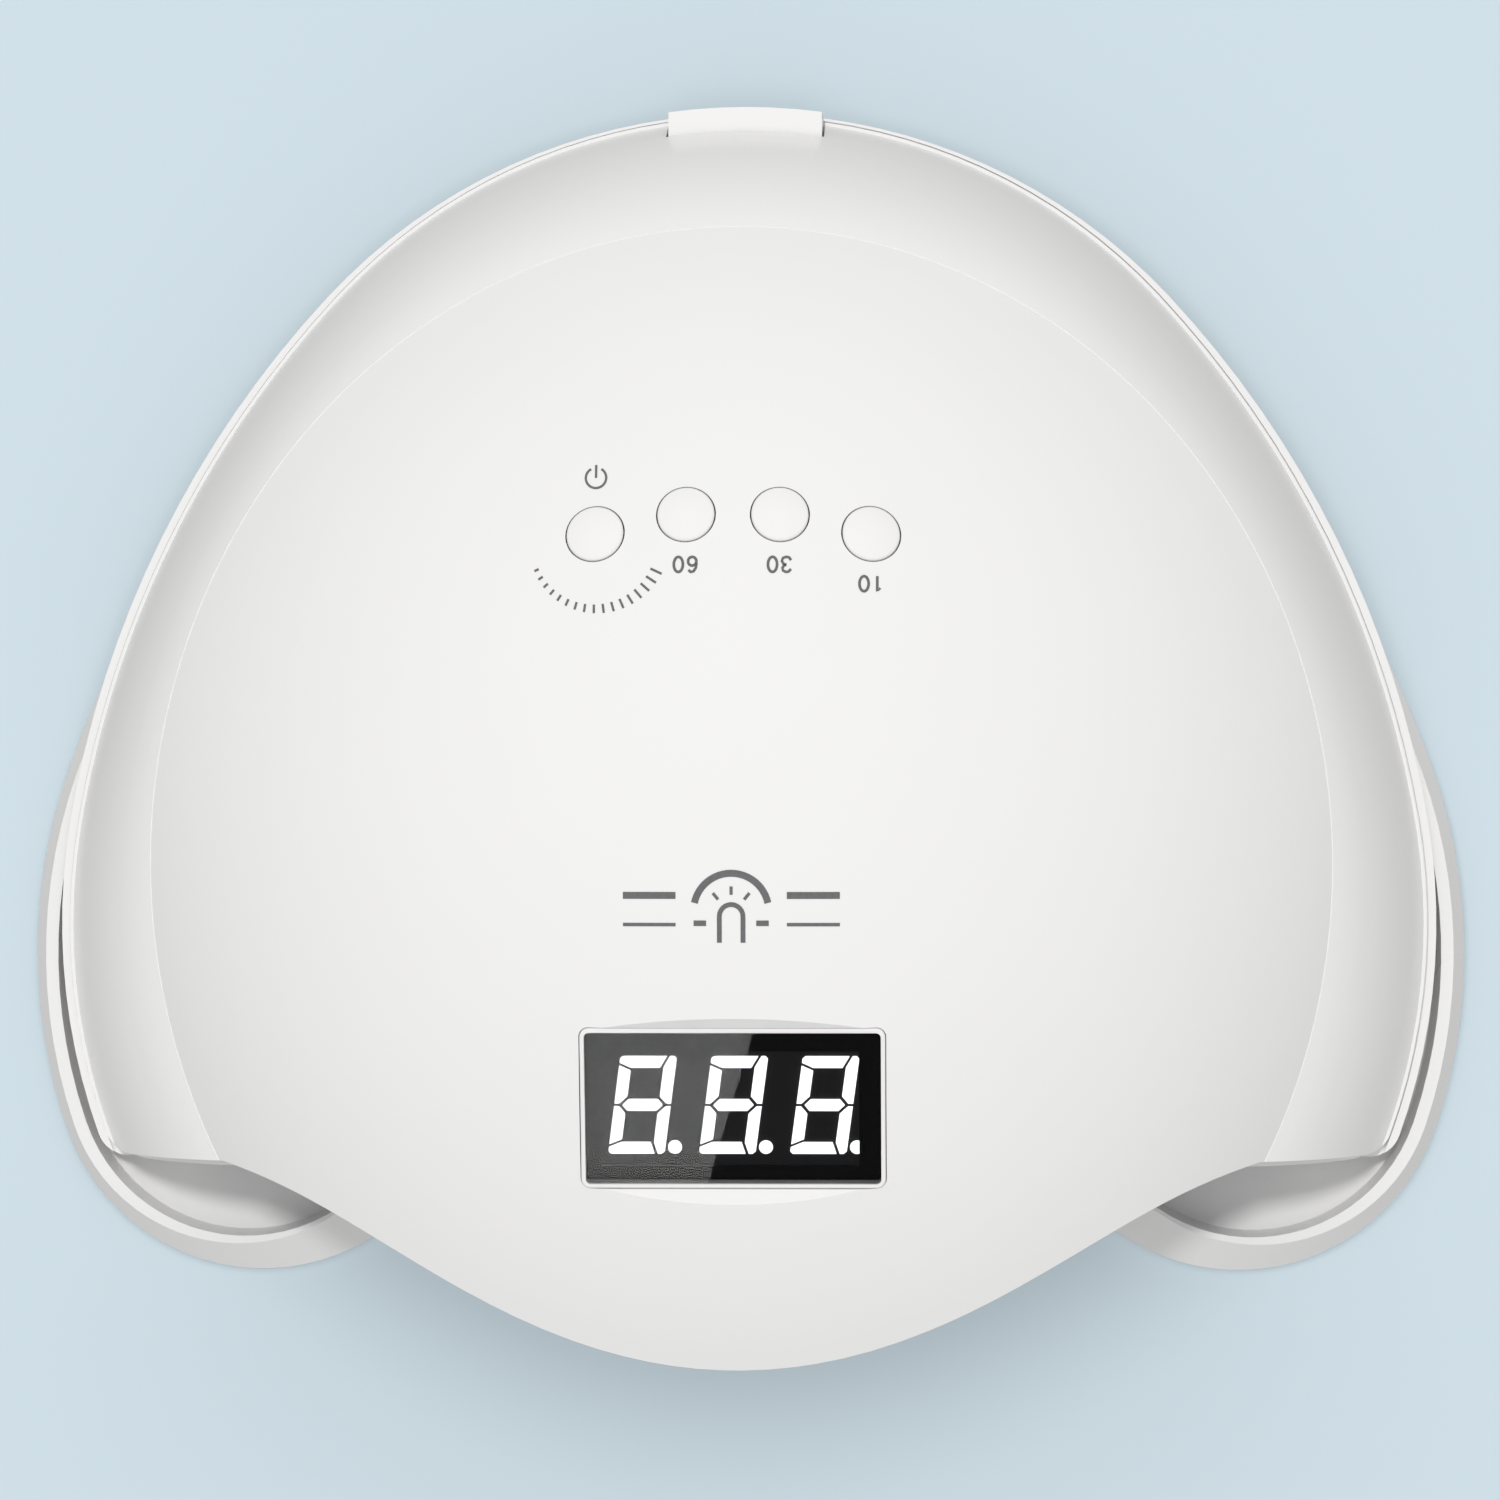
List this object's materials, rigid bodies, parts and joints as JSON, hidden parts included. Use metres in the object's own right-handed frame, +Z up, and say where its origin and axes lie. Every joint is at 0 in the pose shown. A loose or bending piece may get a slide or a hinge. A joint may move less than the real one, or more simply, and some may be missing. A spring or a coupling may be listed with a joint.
{
  "type": "uv curing lamp",
  "caption": "Domed bench-top UV LED curing lamp: open-front hand chamber under a visor, tilted digital display, round push buttons, and a loose base tray.",
  "frame": {"origin": "on the table, under the middle of the lamp", "axes": "+X to the right seen from the hand opening, -Y out of the hand opening, +Z up"},
  "size_m": [0.2204, 0.1887, 0.094],
  "materials": {
    "shell_white": "gloss",
    "housing_white": "satin gloss",
    "tray_white": "gloss",
    "button_white": "gloss",
    "bezel_white": "gloss",
    "tray_mirror": "mirror film",
    "reflector_chrome": "vacuum plated",
    "board_white": "white solder mask",
    "led_phosphor": "matt",
    "lens_clear": "clear silicone",
    "sensor_dark": "infrared filter",
    "window_black": "tinted",
    "module_black": "matt",
    "segment_white": "diffusing",
    "board_green": "solder mask",
    "part_black": "matt",
    "plunger_black": "matt",
    "screw_steel": "zinc plated",
    "magnet_nickel": "nickel plated",
    "pad_steel": "plain",
    "foot_rubber": "matt",
    "jack_black": "satin",
    "pin_brass": "nickel flash",
    "standoff_white": "nylon"
  },
  "bodies": {
    "base": {"base_tray": "tray_white", "tray_mirror": "tray_mirror", "tray_steel_pads": "pad_steel", "rubber_feet": "foot_rubber"},
    "head": {"top_shell": "shell_white", "lower_housing": "housing_white", "housing_magnets": "magnet_nickel", "shell_screws": "screw_steel", "reflector": "reflector_chrome", "led_board_roof": "board_white", "led_board_slope_right": "board_white", "led_board_slope_left": "board_white", "led_board_wall_right": "board_white", "led_board_wall_left": "board_white", "led_board_rear": "board_white", "led_emitters": "led_phosphor", "led_lenses": "lens_clear", "led_board_screws": "screw_steel", "hand_sensor_receiver": "sensor_dark", "hand_sensor_emitter": "lens_clear", "display_bezel": "bezel_white", "display_window": "window_black", "display_module": "module_black", "display_segments": "segment_white", "control_board": "board_green", "control_switches": "part_black", "control_board_screws": "screw_steel", "driver_board": "board_green", "driver_components": "part_black", "driver_standoffs": "standoff_white", "driver_screws": "screw_steel", "dc_jack_body": "jack_black", "dc_jack_pin": "pin_brass"},
    "button_power_body": {"button_power": "button_white", "plunger_power": "plunger_black"},
    "button_60_body": {"button_60": "button_white", "plunger_60": "plunger_black"},
    "button_30_body": {"button_30": "button_white", "plunger_30": "plunger_black"},
    "button_10_body": {"button_10": "button_white", "plunger_10": "plunger_black"}
  },
  "joints": [
    {"name": "head_lift", "type": "slide", "parent": "base", "child": "head", "axis": [0, 0, 1], "range_m": [0, 0.06]},
    {"name": "press_power", "type": "slide", "parent": "head", "child": "button_power_body", "axis": [0, -0.3432, -0.9393], "range_m": [0, 0.0005], "stiffness_N_per_m": 4000},
    {"name": "press_60", "type": "slide", "parent": "head", "child": "button_60_body", "axis": [0, -0.3432, -0.9393], "range_m": [0, 0.0005], "stiffness_N_per_m": 4000},
    {"name": "press_30", "type": "slide", "parent": "head", "child": "button_30_body", "axis": [0, -0.3432, -0.9393], "range_m": [0, 0.0005], "stiffness_N_per_m": 4000},
    {"name": "press_10", "type": "slide", "parent": "head", "child": "button_10_body", "axis": [0, -0.3432, -0.9393], "range_m": [0, 0.0005], "stiffness_N_per_m": 4000}
  ]
}
